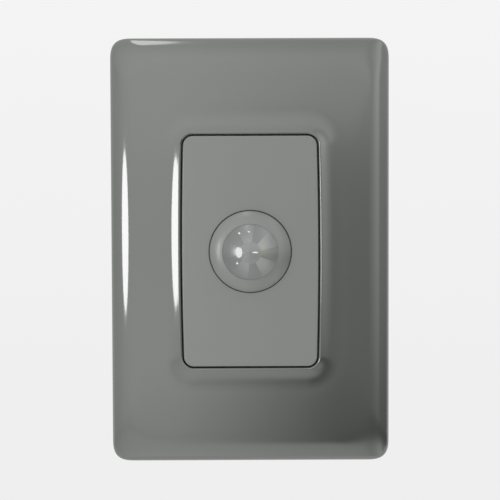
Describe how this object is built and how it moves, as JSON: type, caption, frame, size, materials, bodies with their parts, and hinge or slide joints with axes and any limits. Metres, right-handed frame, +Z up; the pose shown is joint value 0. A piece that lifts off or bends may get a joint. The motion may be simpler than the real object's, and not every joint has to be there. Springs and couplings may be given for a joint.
{
  "type": "motion sensor light switch",
  "caption": "Wall light switch with an infrared motion sensor: clip-on plate, flush insert, round lens head, mounting frame and a casing that sits in an oblong wall box.",
  "frame": {"origin": "centre of the plate in the plane of the wall", "axes": "+Z up the wall, -Y out of the wall towards the room, +X to the right as seen from the room"},
  "size_m": [0.079, 0.0451, 0.1204],
  "materials": {
    "plate_plastic": "polished, moulded",
    "insert_plastic": "satin, moulded",
    "collar_plastic": "polished, moulded",
    "lens_plastic": "milky, grooved inside",
    "frame_plastic": "satin, moulded",
    "chassis_plastic": "satin, moulded",
    "housing_plastic": "satin, moulded",
    "black_plastic": "moulded",
    "rotor_plastic": "moulded",
    "bobbin_plastic": "moulded",
    "relay_plastic": "polished",
    "board": "lacquered laminate",
    "chip_body": "moulded",
    "sleeve": "shrunk sleeve",
    "film_case": "potted box",
    "resistor_coat": "coated",
    "varistor_coat": "dipped",
    "clear_resin": "clear cast",
    "red_resin": "tinted cast",
    "window": "polished filter",
    "can_metal": "plated, drawn",
    "tin": "tinned",
    "steel": "zinc plated",
    "iron": "plated soft iron",
    "brass": "stamped",
    "copper": "wound enamelled wire"
  },
  "bodies": {
    "switch": {"lens_collar": "collar_plastic", "fresnel_lens": "lens_plastic", "mounting_frame": "frame_plastic", "box_screws": "steel", "front_chassis": "chassis_plastic", "rear_housing": "housing_plastic", "sensor_board": "board", "board_screws": "steel", "pir_seat": "black_plastic", "pir_sensor": "can_metal", "pir_window": "window", "pir_leads": "tin", "light_sensor": "clear_resin", "indicator_led": "red_resin", "time_trimmer_body": "black_plastic", "lux_trimmer_body": "black_plastic", "control_chip": "chip_body", "signal_capacitors": "sleeve", "sensor_board_chips": "chip_body", "header_pins": "tin", "header_blocks": "black_plastic", "power_board": "board", "power_board_screws": "steel", "dropper_capacitor": "film_case", "smoothing_capacitor": "sleeve", "rectifier_diodes": "chip_body", "fuse_resistor": "resistor_coat", "varistor": "varistor_coat", "driver_transistor": "chip_body", "relay_base": "black_plastic", "relay_case": "relay_plastic", "relay_bobbin": "bobbin_plastic", "relay_coil": "copper", "relay_core": "iron", "relay_yoke": "iron", "relay_fixed_contact": "brass", "relay_coil_pins": "tin", "terminal_cages": "brass"},
    "plate": {"wall_plate": "plate_plastic"},
    "cover": {"front_cover": "insert_plastic"},
    "time_adjuster": {"time_trimmer_rotor": "rotor_plastic"},
    "lux_adjuster": {"lux_trimmer_rotor": "rotor_plastic"},
    "relay_lever": {"relay_armature": "iron", "relay_moving_contact": "brass"},
    "clamp_1": {"terminal_clamp_1": "steel"},
    "screw_1": {"terminal_screw_1": "steel"},
    "clamp_2": {"terminal_clamp_2": "steel"},
    "screw_2": {"terminal_screw_2": "steel"},
    "clamp_3": {"terminal_clamp_3": "steel"},
    "screw_3": {"terminal_screw_3": "steel"}
  },
  "joints": [
    {"name": "plate_snap", "type": "slide", "parent": "switch", "child": "plate", "axis": [0, -1, 0], "range_m": [0, 0.03]},
    {"name": "cover_pull", "type": "slide", "parent": "switch", "child": "cover", "axis": [0, -1, 0], "range_m": [0, 0.016]},
    {"name": "time_turn", "type": "hinge", "parent": "switch", "child": "time_adjuster", "pos_m": [-0.0075, 0, -0.0215], "axis": [0, 1, 0], "range_deg": [-120, 120]},
    {"name": "lux_turn", "type": "hinge", "parent": "switch", "child": "lux_adjuster", "pos_m": [0.0075, 0, -0.0215], "axis": [0, 1, 0], "range_deg": [-120, 120]},
    {"name": "relay_close", "type": "hinge", "parent": "switch", "child": "relay_lever", "pos_m": [0.0091, 0.01115, 0.0074], "axis": [-1, 0, 0], "range_deg": [0, 3.3], "stiffness_Nm_per_rad": 0.02, "springref_deg": -5.73},
    {"name": "clamp_lift_1", "type": "slide", "parent": "switch", "child": "clamp_1", "axis": [0, 0, 1], "range_m": [0, 0.00175]},
    {"name": "screw_turn_1", "type": "hinge", "parent": "clamp_1", "child": "screw_1", "pos_m": [-0.0115, 0.022, -0.025], "axis": [0, 0, 1], "range_deg": [0, 1260]},
    {"name": "clamp_lift_2", "type": "slide", "parent": "switch", "child": "clamp_2", "axis": [0, 0, 1], "range_m": [0, 0.00175]},
    {"name": "screw_turn_2", "type": "hinge", "parent": "clamp_2", "child": "screw_2", "pos_m": [0, 0.022, -0.025], "axis": [0, 0, 1], "range_deg": [0, 1260]},
    {"name": "clamp_lift_3", "type": "slide", "parent": "switch", "child": "clamp_3", "axis": [0, 0, 1], "range_m": [0, 0.00175]},
    {"name": "screw_turn_3", "type": "hinge", "parent": "clamp_3", "child": "screw_3", "pos_m": [0.0115, 0.022, -0.025], "axis": [0, 0, 1], "range_deg": [0, 1260]}
  ],
  "couplings": [
    {"joint": "screw_turn_1", "follows": "clamp_lift_1", "rad_per_m": 12566},
    {"joint": "screw_turn_2", "follows": "clamp_lift_2", "rad_per_m": 12566},
    {"joint": "screw_turn_3", "follows": "clamp_lift_3", "rad_per_m": 12566}
  ]
}
